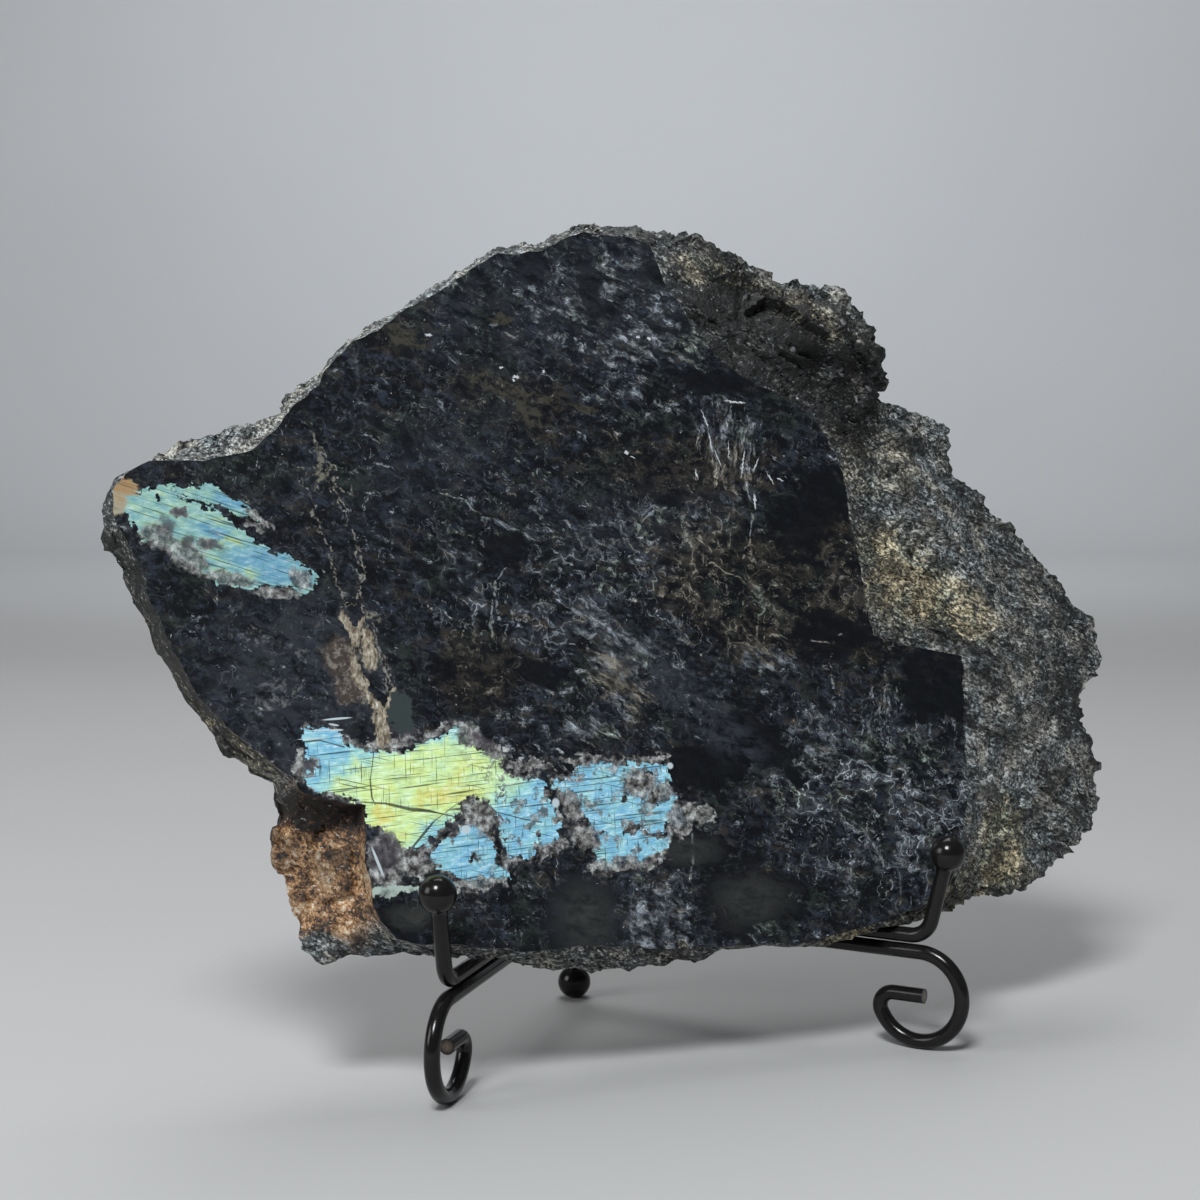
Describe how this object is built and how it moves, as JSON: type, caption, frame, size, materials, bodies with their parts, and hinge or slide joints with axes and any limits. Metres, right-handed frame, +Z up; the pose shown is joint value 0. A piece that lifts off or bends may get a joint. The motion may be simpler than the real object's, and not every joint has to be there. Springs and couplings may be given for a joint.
{
  "type": "polished stone slab on a wire display stand",
  "caption": "Dark natural stone slab with a flat polished front and a broken rim, leaning back on a black wire stand with scroll feet and ball tips.",
  "frame": {"origin": "on the table, under the middle of the object's box", "axes": "+Z up, +X to the right along the slab as seen from its polished front, +Y towards the back"},
  "size_m": [0.3457, 0.1189, 0.2583],
  "materials": {
    "polished_dark_stone": "polished on the front, natural broken rock elsewhere",
    "black_gloss_paint": "gloss"
  },
  "bodies": {
    "root": {"stone": "polished_dark_stone", "left_foot_wire": "black_gloss_paint", "right_foot_wire": "black_gloss_paint", "left_holder_wire": "black_gloss_paint", "right_holder_wire": "black_gloss_paint", "back_rest_rod": "black_gloss_paint", "left_holder_ball": "black_gloss_paint", "right_holder_ball": "black_gloss_paint", "back_rest_ball": "black_gloss_paint", "rear_foot_ball": "black_gloss_paint"}
  },
  "joints": []
}
